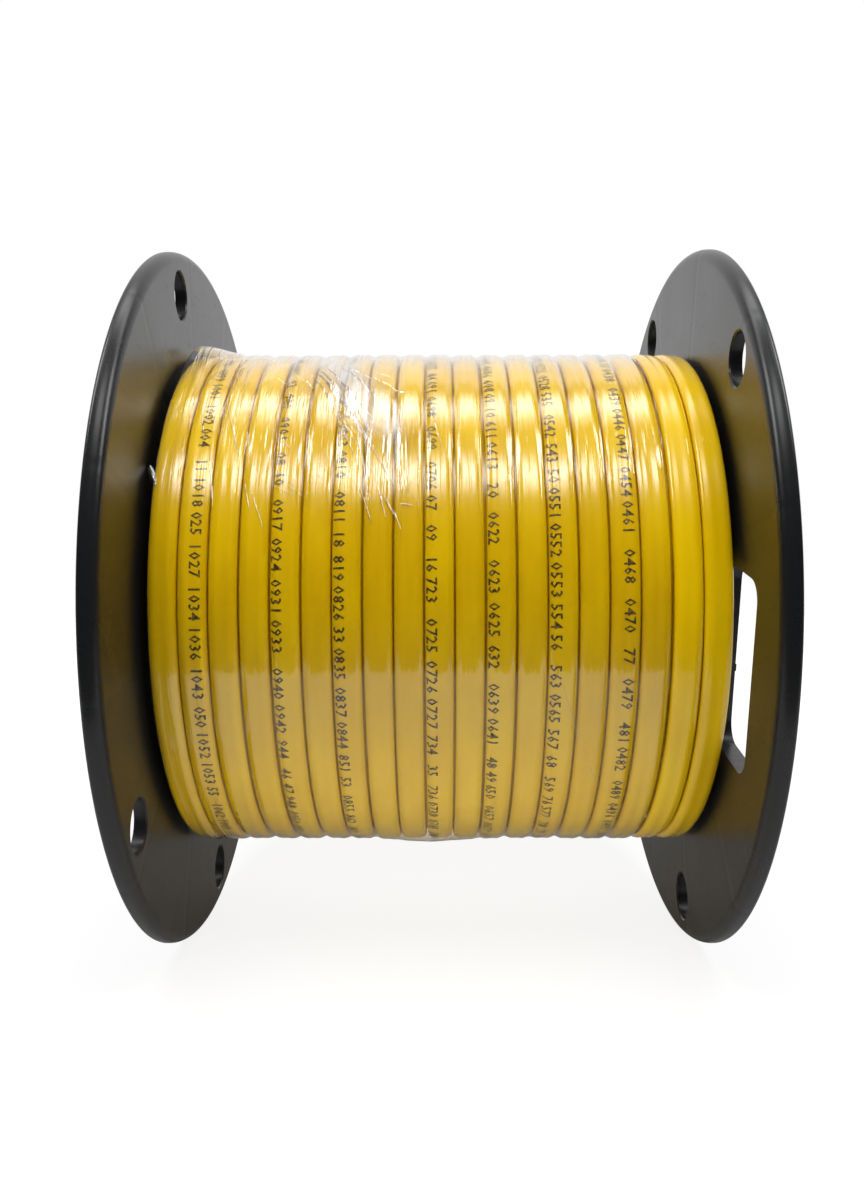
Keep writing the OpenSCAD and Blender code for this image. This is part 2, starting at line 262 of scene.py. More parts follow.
def bareCopper():
    f = Finish("bareCopper", Metallic=1.0)
    marks = f.cloud(f.place(), 700, 3)
    tint = f.blend(marks, rgb(0.62, 0.27, 0.13), rgb(0.86, 0.46, 0.27))
    return f.drive(Base_Color=tint, Roughness=0.18 + marks * 0.22, Normal=f.bump(marks, 0.03 * mm))


def kraftPaper():
    f = Finish("kraftPaper")
    fibres = f.cloud(f.place(), 1500, 5, 0.7)
    tint = f.blend(fibres, rgb(0.33, 0.21, 0.11), rgb(0.60, 0.44, 0.27))
    return f.drive(Base_Color=tint, Roughness=0.85 + fibres * 0.1, Normal=f.bump(fibres, 0.12 * mm))


finishes = {
    "reelRight": reelBlack("reelBlackRight", 18),
    "reelLeft": reelBlack("reelBlackLeft", 12),
    "drum": plainPlastic("drumBlack", (0.030, 0.030, 0.032), 0.35),
    "arbor": plainPlastic("arborGrey", (0.055, 0.055, 0.060), 0.22),
    "zinc": zincPlate(),
    "jacket": yellowJacket(),
    "ink": printedInk(),
    "film": clearFilm(),
    "blackWire": wireNylon("blackNylon", (0.010, 0.010, 0.011), (0.030, 0.030, 0.032)),
    "whiteWire": wireNylon("whiteNylon", (0.72, 0.72, 0.69), (0.86, 0.86, 0.83)),
    "copper": bareCopper(),
    "paper": kraftPaper(),
}
print("finishes:", len(finishes))


# Gives a piece its finish and hides the nodes that it stands for
def dress(piece, finish, slot, *replaced):
    piece.data.materials.clear()
    piece.data.materials.append(finishes[finish])
    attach(piece, "root")
    if replaced:
        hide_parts(*replaced)
    return piece


# Edges over an angle in degrees stay sharp. Without one, the faces stay flat
def fromBmesh(bm, name, sharpOver=None):
    mesh = bpy.data.meshes.new(name)
    bm.to_mesh(mesh)
    bm.free()
    if sharpOver:
        mesh.shade_smooth()
        mesh.set_sharp_from_angle(angle=radians(sharpOver))
    piece = bpy.data.objects.new(name, mesh)
    scene.collection.objects.link(piece)
    return piece


def atAngle(x, radius, angle):
    return Vector((x, radius * cos(angle), radius * sin(angle)))


def smooth(share):
    share = max(0, min(1, share))
    return share * share * (3 - 2 * share)


def between(value, low, high):
    return smooth((value - low) / (high - low))


def mapUv(bm, name, pointAt):
    uv = bm.loops.layers.uv.new(name)
    for face in bm.faces:
        for corner in face.loops:
            corner[uv].uv = pointAt(corner.vert.co)


# A flat grid, from 0 to 1 both ways, to be bent to its shape once it has its UV map
def sheetGrid(along, across, uvName, pointAt=lambda co: co.xy):
    bm = bmesh.new()
    bmesh.ops.create_grid(bm, x_segments=along, y_segments=across, size=0.5)
    bmesh.ops.translate(bm, verts=bm.verts, vec=(0.5, 0.5, 0))
    mapUv(bm, uvName, pointAt)
    return bm


# Joins the seam of a sheet that was bent round on itself
def sewUp(bm, closeEnds=False):
    bmesh.ops.remove_doubles(bm, verts=bm.verts, dist=1e-6)
    if closeEnds:
        bmesh.ops.holes_fill(bm, edges=[edge for edge in bm.edges if edge.is_boundary])
    bmesh.ops.recalc_face_normals(bm, faces=bm.faces)


# Turns the faces of small sheets away from the reel's axis
def faceOutwards(bm):
    for face in bm.faces:
        middle = face.calc_center_median()
        if face.normal.dot(Vector((0, middle.y, middle.z))) < 0:
            face.normal_flip()


# Adds one bmesh to another and lets it go
def addTo(whole, part):
    holder = bpy.data.meshes.new("part")
    part.to_mesh(holder)
    part.free()
    whole.from_mesh(holder)
    bpy.data.meshes.remove(holder)


# Turns an outline of (x, radius) pairs about the reel's axis
def turned(bm, outline, steps, closed=True):
    ring = [bm.verts.new(atAngle(x, radius, 0)) for x, radius in outline]
    pairs = zip(ring, ring[1:] + ring[:1]) if closed else zip(ring, ring[1:])
    edges = [bm.edges.new(pair) for pair in pairs]
    bmesh.ops.spin(bm, geom=ring + edges, cent=(0, 0, 0), axis=(1, 0, 0), dvec=(0, 0, 0),
                   angle=2 * pi, steps=steps, use_merge=True)
    bmesh.ops.remove_doubles(bm, verts=bm.verts, dist=1e-7)
    bmesh.ops.recalc_face_normals(bm, faces=bm.faces)


# Sizes that the pieces share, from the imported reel

outerLow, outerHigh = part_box("cable_outer_layer")
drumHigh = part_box("drum_barrel")[1]
tubeLow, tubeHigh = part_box("arbor_tube")
flangeLow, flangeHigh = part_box("right_flange")

cable = {
    "width": 10.6 * mm, "thick": 4.7 * mm, "gap": 0.55 * mm, "turns": 19,
    "crown": 2.63 * mm,           # half height of the oval before the valley is pressed in
    "oval": 2.15,                 # 2 is an ellipse, more is squarer
    "valley": 0.50 * mm,          # the jacket dips between its two conductors
    "valleyHalf": 3.2 * mm,
    "around": 30,                 # points round the section
    "stepDegrees": 4,
    "crossDegrees": 60,           # how far round the reel a turn takes to step to the next
    "startDegrees": 38.7,
    "wander": 0.10 * mm, "sway": 0.34 * mm, "tilt": 0.035,    # unevenness out, along and in lean
    "diveDegrees": 11,            # the first turn comes up out of the layer below
    "edgeTilt": 0.05, "edgeDrop": 0.12 * mm,  # the first and last turn lean outwards
    "firstFrom": 0.85, "lastFrom": 0.97, "leanOver": 0.12,    # in turns
    "seed": 7.3,
}
cable["pitch"] = (outerHigh.x - outerLow.x + cable["gap"]) / cable["turns"]
cable["outer"] = outerHigh.z
cable["path"] = cable["outer"] - cable["thick"] / 2
cable["firstX"] = outerHigh.x - cable["width"] / 2


# How deep the jacket dips at a place across it
def valleyAt(u):
    return cable["valley"] * 0.5 * (1 + cos(pi * min(1, abs(u) / cable["valleyHalf"])))


# Half height of the section at a place across it
def jacketTop(u):
    share = min(1, abs(u) / (cable["width"] / 2))
    return cable["crown"] * (1 - share ** cable["oval"]) ** (1 / cable["oval"]) - valleyAt(u)


# The point of the section at a share of its way round, from the right edge over the top
def jacketSection(share):
    way = 2 * pi * share
    u = math.copysign(abs(cos(way)) ** (2 / cable["oval"]), cos(way)) * cable["width"] / 2
    v = abs(sin(way)) ** (2 / cable["oval"]) * cable["crown"]
    return u, math.copysign(max(0, v - valleyAt(u)), sin(way))


# Place along the axis of a cable at an angle counted on from the first turn
def turnPlace(angle):
    cross = radians(cable["crossDegrees"])
    counted = angle - cross / 2
    turn = math.floor(counted / (2 * pi))
    rest = counted - turn * 2 * pi
    return cable["firstX"] - cable["pitch"] * (turn + smooth((rest - 2 * pi + cross) / cross))


def wobble(angle, speed, row):
    return noise.noise(Vector((angle * speed, row * 5.1, cable["seed"])))


# Noise that meets itself after one turn of the reel
def roundNoise(angle, speed, row):
    return noise.noise(Vector((cos(angle) * speed, sin(angle) * speed, row)))


# How far a turn leans and stands off its even place
def lean(angle):
    counted = angle / (2 * pi)
    first = 1 - smooth((counted - cable["firstFrom"]) / cable["leanOver"])
    last = smooth((counted - cable["turns"] + cable["lastFrom"]) / cable["leanOver"])
    tilt = cable["tilt"] * 2 * wobble(angle, 0.55, 1) + cable["edgeTilt"] * (last - first)
    return tilt, cable["wander"] * wobble(angle, 0.8, 2) - cable["edgeDrop"] * max(first, last)


# A point of the cable's surface: angle along it, u across it and v outwards
def cablePoint(angle, u, v):
    tilt, out = lean(angle)
    below = (radians(cable["startDegrees"]) - angle) / radians(cable["diveDegrees"])
    out -= cable["thick"] * smooth(below)
    aside = u - tilt * v + cable["sway"] * wobble(angle, 0.35, 3)
    return atAngle(turnPlace(angle) + aside, cable["path"] + v + tilt * u + out, angle)


cableEnd = 2 * pi * cable["turns"] - radians(cable["startDegrees"])


def buildCable():
    start = radians(cable["startDegrees"] - cable["diveDegrees"])
    angle = cableEnd - start
    steps = round(math.degrees(angle) / cable["stepDegrees"])
    length = angle * cable["path"]
    bm = sheetGrid(steps, cable["around"], "jacket", lambda co: (co.x * length, co.y))
    for vert in bm.verts:
        u, v = jacketSection(vert.co.y)
        vert.co = cablePoint(start + angle * vert.co.x, u, v)
    sewUp(bm, closeEnds=True)
    piece = fromBmesh(bm, "cableWinding", 50)
    return dress(piece, "jacket", "yellow_jacket", "cable_outer_layer")


cableWinding = buildCable()
print("outer layer:", len(cableWinding.data.polygons), "faces")


# The layers underneath

inner = {
    "layers": 6, "layerHeight": 4.75 * mm, "arcPoints": 7, "steps": 120, "uneven": 0.35 * mm,
    "drumGap": 0.15 * mm,
}


def buildInnerLayers():
    r = cable["thick"] / 2
    low = outerLow.x + r
    high = outerHigh.x - r
    outline = [(high, drumHigh.z + inner["drumGap"])]
    for side, x in ((1, high), (-1, low)):
        order = range(inner["layers"]) if side > 0 else range(inner["layers"] - 1, -1, -1)
        for layer in order:
            middle = drumHigh.z + (layer + 0.5) * inner["layerHeight"]
            for i in range(inner["arcPoints"]):
                a = side * (pi * (i + 0.5) / inner["arcPoints"] - pi / 2)
                outline.append((x + side * r * cos(a), middle + r * sin(a)))
    outline.append((low, drumHigh.z + inner["drumGap"]))
    bm = bmesh.new()
    turned(bm, outline, inner["steps"])
    for vert in bm.verts:
        radius = hypot(vert.co.y, vert.co.z)
        layer = math.floor((radius - drumHigh.z) / inner["layerHeight"])
        angle = math.atan2(vert.co.z, vert.co.y)
        side = 1 if vert.co.x > 0 else -1
        vert.co.x -= side * inner["uneven"] * (1 + roundNoise(angle, 1.5, layer * 3.3 + side * 20))
    mapUv(bm, "jacket", lambda co: (math.atan2(co.z, co.y) % (2 * pi) * cable["path"],
                                    hypot(co.y, co.z) / (4 * cable["thick"])))
    piece = fromBmesh(bm, "cableInnerLayers", 40)
    return dress(piece, "jacket", "yellow_jacket", "cable_inner_layers")


print("inner layers:", len(buildInnerLayers().data.polygons), "faces")


# Length numbers printed on the jacket

marks = {
    "height": 4.3 * mm, "fontSize": 1.36,    # the font's own size for a digit 1 high
    "bold": 0.09 * mm, "lift": 0.035 * mm, "spacing": 3.2 * mm, "strip": 0.7 * mm,
    "clearOfEdge": 0.45 * mm,
    # turn counted from the right flange, place across it, first and last degree of the print
    "runs": [(3, 1.0, 80, 285), (5, -2.9, 100, 300), (7, -3.1, 95, 268), (9, -3.2, 84, 300),
             (12, -3.0, 70, 290), (14, -3.3, 92, 296), (17, 0.9, 88, 292),
             (1, 1.5, 290, 325), (10, 2.0, 32, 80), (15, 0.8, 290, 328)],
    "after": 412, "counts": (1, 2, 7),
    "leftOff": (0, 0, 1, 2),      # first digits that the printer missed
    "gaps": (0.5, 0.8, 1.6), "unevenSpacing": (0.92, 1.05), "seed": 41,
}


# A digit lies flat, and is cut into strips that can follow the jacket's ridges
def cutDigit(text):
    curve = bpy.data.curves.new("digit", "FONT")
    curve.body = text
    curve.size = marks["height"] * marks["fontSize"]
    curve.offset = marks["bold"]
    curve.resolution_u = 1
    curve.align_y = "CENTER"
    holder = bpy.data.objects.new("digit", curve)
    mesh = bpy.data.meshes.new_from_object(holder)
    bpy.data.objects.remove(holder)
    bpy.data.curves.remove(curve)
    bm = bmesh.new()
    bm.from_mesh(mesh)
    bpy.data.meshes.remove(mesh)
    for strip in range(-2, 3):
        bmesh.ops.bisect_plane(bm, geom=bm.verts[:] + bm.edges[:] + bm.faces[:], dist=1e-7,
                               plane_co=(0, strip * marks["strip"], 0), plane_no=(0, 1, 0))
    return bm


def buildMarks():
    rng = random.Random(marks["seed"])
    digits = {text: cutDigit(text) for text in "0123456789"}
    limit = cable["width"] / 2 - marks["clearOfEdge"]
    bm = bmesh.new()

    def printed(text, angle, across):
        flat = digits[text].copy()
        for vert in flat.verts:
            u = max(-limit, min(limit, across + vert.co.y))
            vert.co = cablePoint(angle + vert.co.x / cable["outer"], u, jacketTop(u) + marks["lift"])
        addTo(bm, flat)

    length = marks["after"]
    for turn, across, low, high in marks["runs"]:
        angle = 2 * pi * turn + radians(low)
        last = 2 * pi * turn + radians(high)
        while angle < last:
            length += rng.choice(marks["counts"])
            for digit in f"{length:04d}"[rng.choice(marks["leftOff"]):]:
                printed(digit, angle, across * mm)
                angle += marks["spacing"] * rng.uniform(*marks["unevenSpacing"]) / cable["outer"]
            angle += marks["spacing"] * rng.choice(marks["gaps"]) / cable["outer"]
    faceOutwards(bm)
    piece = fromBmesh(bm, "lengthNumbers")
    return dress(piece, "ink", "black_insulation")


lengthNumbers = buildMarks()
print("printed numbers:", len(lengthNumbers.data.polygons), "faces")


# Clear film

film = {
    "lift": 0.08 * mm,            # above the cable's crown
    "touches": 3.9 * mm,          # half width of the jacket that it lies on
    "sinks": 0.7,                 # how far it sinks between two turns, where 1 keeps its slope
    "valley": 0.85,               # how much of the jacket's valley shows through
    "dipVaries": 0.35,            # between two turns
    "fineSteps": 240, "coarseSteps": 100, "fineFrom": 80, "fineTo": 205,
    "alongStep": 0.76 * mm,
    "slack": 0.35 * mm,
    "bareTurns": 2, "leftGap": 0.4 * mm,
    # where it stands off: x, degrees, reach to the left and right and in degrees, height
    "loose": [(-101.5 * mm, 110, (4 * mm, 15 * mm), 8, 5.4 * mm),
              (-3 * mm, 248, (17 * mm, 17 * mm), 9, 2.2 * mm)],
    "looseSinks": 0.5 * mm,       # instead of following the turns
    # where it is crinkled: x, degrees, reach to the left and right and in degrees
    "crinkled": [(-52 * mm, 122, (30 * mm, 30 * mm), 26), (-18 * mm, 156, (13 * mm, 13 * mm), 11),
                 (-92 * mm, 128, (16 * mm, 16 * mm), 24)],
    "crinkledAll": 0.10, "wrinkles": 0.5 * mm, "edgeWaves": 1.6 * mm,
    # how hazy it is in its first loose place, how much painted sheen it has over the top of the reel,
    # and where that top begins and ends
    "looseHaze": 0.7, "topSheen": 0.32, "topFrom": (60, 80), "topTo": (108, 124),
    # where it is bunched up and hazy: x and degrees of the two ends, reach and strength
    "bunched": (-46 * mm, 112, -14 * mm, 150, 8 * mm, 0.8),
}


# The turn under a place, counted from the right, and how far across it the place is
def turnAt(x, angle):
    turn = round((turnPlace(angle) - x) / cable["pitch"])
    turn = max(0, min(cable["turns"] - 1, turn))
    counted = angle + 2 * pi * turn
    return turn, x - turnPlace(counted) - cable["sway"] * wobble(counted, 0.35, 3)


# How far a turn's lean and wander lift the film at a place across it
def standOff(turn, u, angle):
    tilt, out = lean(angle + 2 * pi * turn)
    return tilt * u + out


# A place on the unrolled surface of the winding
def laidFlat(x, degrees):
    return Vector((x, radians(degrees) * cable["outer"]))


# 1 in the middle of a place and 0 well away from it
def hump(x, degrees, place):
    atX, atDegrees, reaches, reachDegrees = place[:4]
    reachX = reaches[x > atX]
    return math.exp(-((x - atX) / reachX) ** 2 - ((degrees - atDegrees) / reachDegrees) ** 2)


# The same for the band between the two ends of the bunched stretch
def bunchedAt(x, degrees):
    fromX, fromDegrees, toX, toDegrees, reach, strength = film["bunched"]
    start = laidFlat(fromX, fromDegrees)
    run = laidFlat(toX, toDegrees) - start
    here = laidFlat(x, degrees) - start
    share = here.dot(run) / run.length_squared
    aside = here - run * share
    ends = smooth((share + 0.25) / 0.35) * smooth((1.1 - share) / 0.35)
    return strength * ends * math.exp(-(aside.length / reach) ** 2)


# Drop of the film from the crown, which it leaves at a slope to cross the gap in a round trough
def filmDrop(u, deeper):
    touches = film["touches"]
    onJacket = min(abs(u), touches)
    drop = cable["crown"] - jacketTop(onJacket) - (1 - film["valley"]) * valleyAt(onJacket)
    beyond = abs(u) - touches
    if beyond <= 0:
        return drop
    step = 0.1 * mm
    slope = (jacketTop(touches) - jacketTop(touches + step)) / step
    reach = cable["pitch"] / 2 - touches
    share = min(1, beyond / reach)
    return drop + film["sinks"] * deeper * slope * reach * (share - share ** 4 / 4)


def filmRadius(x, angle):
    turn, u = turnAt(x, angle)
    side = 1 if u > 0 else -1
    beside = max(0, min(cable["turns"] - 1, turn - side))
    share = min(1, abs(u) / (cable["pitch"] / 2))
    own = standOff(turn, u, angle)
    other = standOff(beside, u - side * cable["pitch"], angle)
    gap = min(turn, beside)
    deeper = 1 + 2 * film["dipVaries"] * roundNoise(angle, 2.6, gap * 3.7)
    height = cable["crown"] + film["lift"] + own + (other - own) * 0.5 * share ** 3
    degrees = math.degrees(angle) % 360
    lifts = [(place[4], hump(x, degrees, place)) for place in film["loose"]]
    free = min(1, sum(2 * near for lift, near in lifts))
    height -= filmDrop(u, deeper) * (1 - free) + film["looseSinks"] * free
    height += sum(lift * near for lift, near in lifts)
    slackAt = Vector((x / mm * 0.035, cos(angle) * 2.4, sin(angle) * 2.4))
    height += film["slack"] * 1.2 * max(0, noise.noise(slackAt))
    return cable["path"] + height


# More rows where the film is crinkled
def filmAngle(share):
    low, high = radians(film["fineFrom"]), radians(film["fineTo"])
    fine = film["fineSteps"] / (film["fineSteps"] + film["coarseSteps"])
    if share < fine:
        return low + (high - low) * share / fine
    return high + (2 * pi - high + low) * (share - fine) / (1 - fine)


def buildFilm():
    right = cable["firstX"] - (film["bareTurns"] - 0.5) * cable["pitch"]
    left = outerLow.x + film["leftGap"]
    count = round((right - left) / film["alongStep"])
    bm = sheetGrid(count, film["fineSteps"] + film["coarseSteps"], "film",
                   lambda co: (right + (left - right) * co.x, filmAngle(co.y) * cable["outer"]))
    crinkled = bm.verts.layers.float.new("crinkled")
    milky = bm.verts.layers.float.new("milky")
    for vert in bm.verts:
        share = vert.co.x
        x = right + (left - right) * share
        angle = filmAngle(vert.co.y) % (2 * pi)
        degrees = math.degrees(angle)
        near = sum(hump(x, degrees, place) for place in film["crinkled"])
        vert[crinkled] = min(1, film["crinkledAll"] + near)
        loose = film["looseHaze"] * hump(x, degrees, film["loose"][0])
        # over the top of the reel the film reflects more: a painted sheen
        top = film["topSheen"] * between(degrees, *film["topFrom"])
        top *= 1 - between(degrees, *film["topTo"])
        vert[milky] = max(loose, bunchedAt(x, degrees), top)
        diagonal = Vector((x / mm * 0.16 + degrees * 0.13, x / mm * 0.01 - degrees * 0.012, 3.1))
        lift = near * film["wrinkles"] * max(0, noise.noise(diagonal))
        edge = film["edgeWaves"] * roundNoise(angle, 2.2, 9) * (share ** 8 + 0.25 * (1 - share) ** 8)
        vert.co = atAngle(x + edge, filmRadius(x, angle) + lift, angle)
    sewUp(bm)
    piece = fromBmesh(bm, "filmWrap")
    piece.data.shade_smooth()
    return dress(piece, "film", "clear_film", "film_wrap")


filmWrap = buildFilm()
print("film:", len(filmWrap.data.polygons), "faces")


# Folds that stand up from the film

folds = {
    "along": 28, "across": 6, "lift": 0.04 * mm, "clearBelow": 0.7,
    # x and degrees of the two ends, width and height, with lengths in millimetres
    "drawn": [
        (-51, 120, -25, 147, 2.3, 1.0), (-49.5, 119.5, -23, 146, 1.5, 0.8),
        (-53, 121, -28, 150, 1.1, 0.5), (-47, 118, -21, 144, 1.0, 0.5), (-51, 124, -33, 142, 1.0, 0.4),
        (-44, 121, -18, 149, 0.9, 0.5), (-48, 126, -29, 153, 0.9, 0.4), (-41, 117, -19, 138, 1.2, 0.5),
        (-44, 128, -14, 159, 1.4, 0.5), (-30, 155, -24, 165, 0.9, 0.4), (-26, 149, -19, 164, 1.0, 0.4),
        (-17, 161, -13.5, 166, 0.8, 0.35), (-21, 158, -16, 163, 1.2, 0.4),
        (-15, 160.5, -9, 161, 1.2, 0.5), (-83, 133, -74, 150, 1.1, 0.5), (-85, 131, -78, 147, 0.8, 0.4),
        (-86, 145, -82, 162, 0.8, 0.4), (-69, 157, -63, 166, 0.8, 0.4), (-73, 152, -68, 163, 0.7, 0.3),
        (-95, 126, -88, 146, 0.9, 0.4), (-38, 119, -10, 133, 1.1, 0.45), (-33, 135, -26, 158, 0.9, 0.4),
        (-6, 128, 2, 150, 0.8, 0.3), (38, 186, 61, 221, 0.7, 0.22),
        (-107.2, 151.5, -103.5, 156.5, 2.2, 0.5)],
    # small ones spread at random: where they start, how long, how steep, how wide and how high
    "small": 26, "x": (-66, -8), "degrees": (112, 160), "long": (5, 16), "steep": (0.5, 1.5),
    "wide": (0.5, 0.9), "high": (0.18, 0.35), "seed": 12,
}


def fold(fromX, fromDegrees, toX, toDegrees, width, height):
    start = laidFlat(fromX * mm, fromDegrees)
    run = laidFlat(toX * mm, toDegrees) - start
    across = Vector((-run.y, run.x)).normalized() * width * mm / 2
    bm = sheetGrid(folds["along"], folds["across"], "film",
                   lambda co: start + run * co.x + across * (2 * co.y - 1))
    milky = bm.verts.layers.float.new("milky")
    crinkled = bm.verts.layers.float.new("crinkled")
    for vert in bm.verts:
        taper = sin(pi * min(1, max(0, vert.co.x))) ** 0.6
        aside = 2 * vert.co.y - 1
        flat = start + run * vert.co.x + across * aside * taper
        angle = flat.y / cable["outer"]
        lift = folds["lift"] + height * mm * taper * (1 - abs(aside)) ** 1.3
        vert.co = atAngle(flat.x, filmRadius(flat.x, angle) + lift, angle)
        vert[milky] = max(0, min(1, (width - folds["clearBelow"]) / 3))
        vert[crinkled] = 1
    return bm


def buildFolds():
    rng = random.Random(folds["seed"])
    rows = list(folds["drawn"])
    for i in range(folds["small"]):
        parts = ("x", "degrees", "long", "steep")
        x, degrees, length, slope = (rng.uniform(*folds[part]) for part in parts)
        reach = length * slope / hypot(1, slope) / (cable["outer"] / mm)
        rows.append((x, degrees, x + length / hypot(1, slope), degrees + math.degrees(reach),
                     rng.uniform(*folds["wide"]), rng.uniform(*folds["high"])))
    bm = bmesh.new()
    for row in rows:
        addTo(bm, fold(*row))
    bmesh.ops.recalc_face_normals(bm, faces=bm.faces)
    faceOutwards(bm)
    piece = fromBmesh(bm, "filmFolds")
    piece.data.shade_smooth()
    return dress(piece, "film", "clear_film")


print("folds:", len(buildFolds().data.polygons), "faces")


# Flanges: the moulded shape with a freshly turned rim and its edges eased

flange = {
    "edge": 0.35 * mm, "segments": 3, "bevelOver": 50, "sharpOver": 30,
    "faceX": 108 * mm, "fillet": 4.5 * mm, "outerRound": 1.6 * mm,
    "arcPoints": 9, "arcDegrees": 88, "steps": 288,
    "flatFrom": 0.9993, "keptBelow": 0.05 * mm, "mergeDegrees": 0.5,
}


# From the cable's side of the rim, over its edge, to the outside
def rimOutline(side):
    far, radius = flangeHigh.x, flangeHigh.z
    near, fillet, rounding = flange["faceX"], flange["fillet"], flange["outerRound"]
    steps = [flange["arcDegrees"] * i / flange["arcPoints"] for i in range(flange["arcPoints"] + 1)]
    arc = [radians(90 - flange["arcDegrees"] + step) for step in steps]
    outline = [(near + fillet * (1 - cos(a)), radius - fillet * (1 - sin(a))) for a in arc]
    arc = [radians(step) for step in steps]
    outline += [(far - rounding * (1 - sin(a)), radius - rounding * (1 - cos(a))) for a in arc]
    return [(side * x, r) for x, r in outline]


def openEdges(bm, low, high):
    edges = [edge for edge in bm.edges if edge.is_boundary]
    return [edge for edge in edges if low < abs(edge.verts[0].co.x) < high]


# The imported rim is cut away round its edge, and a finer one bridges the two openings
def buildFlange(node, name, finish, side):
    bm = bmesh.new()
    bm.from_mesh(nodes[node].data)
    bmesh.ops.remove_doubles(bm, verts=bm.verts, dist=1e-6)
    bm.normal_update()
    inside = flangeHigh.z - flange["fillet"] - flange["keptBelow"]
    rim = [face for face in bm.faces if abs(face.normal.x) < flange["flatFrom"]
           and min(hypot(vert.co.y, vert.co.z) for vert in face.verts) > inside]
    bmesh.ops.delete(bm, geom=rim, context="FACES")
    turned(bm, rimOutline(side), flange["steps"], closed=False)
    middle = flange["faceX"] + flange["fillet"] / 2
    for low, high in ((0, middle), (middle, 1)):
        bmesh.ops.bridge_loops(bm, edges=openEdges(bm, low, high))
    bmesh.ops.recalc_face_normals(bm, faces=bm.faces)
    bmesh.ops.dissolve_limit(bm, angle_limit=radians(flange["mergeDegrees"]),
                             verts=bm.verts, edges=bm.edges)
    print(name, "open edges:", len(openEdges(bm, 0, 1)))
    piece = fromBmesh(bm, name, flange["sharpOver"])
    bevel = piece.modifiers.new("easedEdges", "BEVEL")
    bevel.width = flange["edge"]
    bevel.segments = flange["segments"]
    bevel.limit_method = "ANGLE"
    bevel.angle_limit = radians(flange["bevelOver"])
    shading = piece.modifiers.new("flatFacesShadeFlat", "WEIGHTED_NORMAL")
    shading.keep_sharp = True
    return dress(piece, finish, "reel_black", node)


rightFlange = buildFlange("right_flange", "rightFlange", "reelRight", 1)
leftFlange = buildFlange("left_flange", "leftFlange", "reelLeft", -1)
print("flanges:", len(rightFlange.data.polygons), len(leftFlange.data.polygons), "faces")


# Bolts, washers, nuts and the bore's liner

bolt = {
    "circle": 52 * mm, "firstDegrees": 45,
    "acrossFlats": 13 * mm, "chamferAt": 0.94, "chamferSlope": 0.577,
    "headSeat": 103.6 * mm, "headHeight": 5.3 * mm, "headFace": 0.3 * mm, "dish": 0.25 * mm,
    "nutSeat": 103.6 * mm, "nutHeight": 6.8 * mm, "nutBore": 4.0 * mm, "nutSink": 0.6 * mm,
    "nutFace": 0.1 * mm,
    "radius": 3.95 * mm, "tip": 113.2 * mm, "tipChamfer": 0.9 * mm,
    "pitch": 1.25 * mm, "depth": 0.62 * mm, "threadFrom": 100 * mm,
    "rowsPerPitch": 5, "around": 24, "steps": 48,
    "washerSeat": 102 * mm, "washerThick": 1.6 * mm, "washerHole": 4.2 * mm, "washerRadius": 8.5 * mm,
    "washerEdge": 0.25 * mm, "turns": (8, 31, 52, 17),
    "wallMark": 20 * mm,          # a wall turned at this radius becomes the six flats
}
bolt["flat"] = bolt["acrossFlats"] / 2
bolt["chamfer"] = bolt["flat"] * bolt["chamferAt"]


# A turned piece whose marked wall moves to its six flats, with chamfers at one end or at both
def sixSided(outline, height, bothEnds):
    bm = bmesh.new()
    turned(bm, outline, bolt["steps"], closed=bothEnds)
    for vert in bm.verts:
        if hypot(vert.co.y, vert.co.z) < bolt["wallMark"] * 0.9:
            continue
        angle = math.atan2(vert.co.z, vert.co.y)
        sixth = (angle + pi / 6) % (pi / 3) - pi / 6
        radius = bolt["flat"] / cos(sixth)
        drop = (radius - bolt["chamfer"]) * bolt["chamferSlope"]
        x = vert.co.x
        if x > height / 2:
            x = height - drop
        elif bothEnds:
            x = drop
        vert.co = atAngle(x, radius, angle)
    return bm


# Four of the same, on the bolts' circle, seated at a place along the axis and facing a side
def boltCircle(single, name, seat, side, node):
    whole = bmesh.new()
    for i, degrees in enumerate(bolt["turns"]):
        copy = single.copy()
        turn = Matrix.Rotation(radians(degrees), 3, "X")
        bmesh.ops.rotate(copy, verts=copy.verts, cent=(0, 0, 0), matrix=turn)
        bmesh.ops.scale(copy, verts=copy.verts, vec=(side, 1, 1))
        at = atAngle(seat, bolt["circle"], radians(bolt["firstDegrees"] + 90 * i))
        bmesh.ops.translate(copy, verts=copy.verts, vec=at)
        addTo(whole, copy)
    single.free()
    bmesh.ops.recalc_face_normals(whole, faces=whole.faces)
    piece = fromBmesh(whole, name, 35)
    return dress(piece, "zinc", "zinc_plated_steel", node)


def boltHead():
    flat, chamfer, wall = bolt["flat"], bolt["chamfer"], bolt["wallMark"]
    height, face = bolt["headHeight"], bolt["headFace"]
    outline = [(0, bolt["radius"] * 0.9), (0, flat * 0.97), (face, flat * 0.99), (face, wall),
               (height, wall), (height, chamfer), (height - bolt["dish"], chamfer * 0.78),
               (height - bolt["dish"], 0)]
    return sixSided(outline, height, bothEnds=False)


# Radius of the rod, with a thread that winds round its last stretch
def rodRadius(x, angle):
    radius = bolt["radius"]
    if x > bolt["threadFrom"]:
        phase = (x / bolt["pitch"] - angle / (2 * pi)) % 1
        radius -= bolt["depth"] * abs(2 * phase - 1)
    return min(radius, radius - bolt["tipChamfer"] + max(0, bolt["tip"] - x))


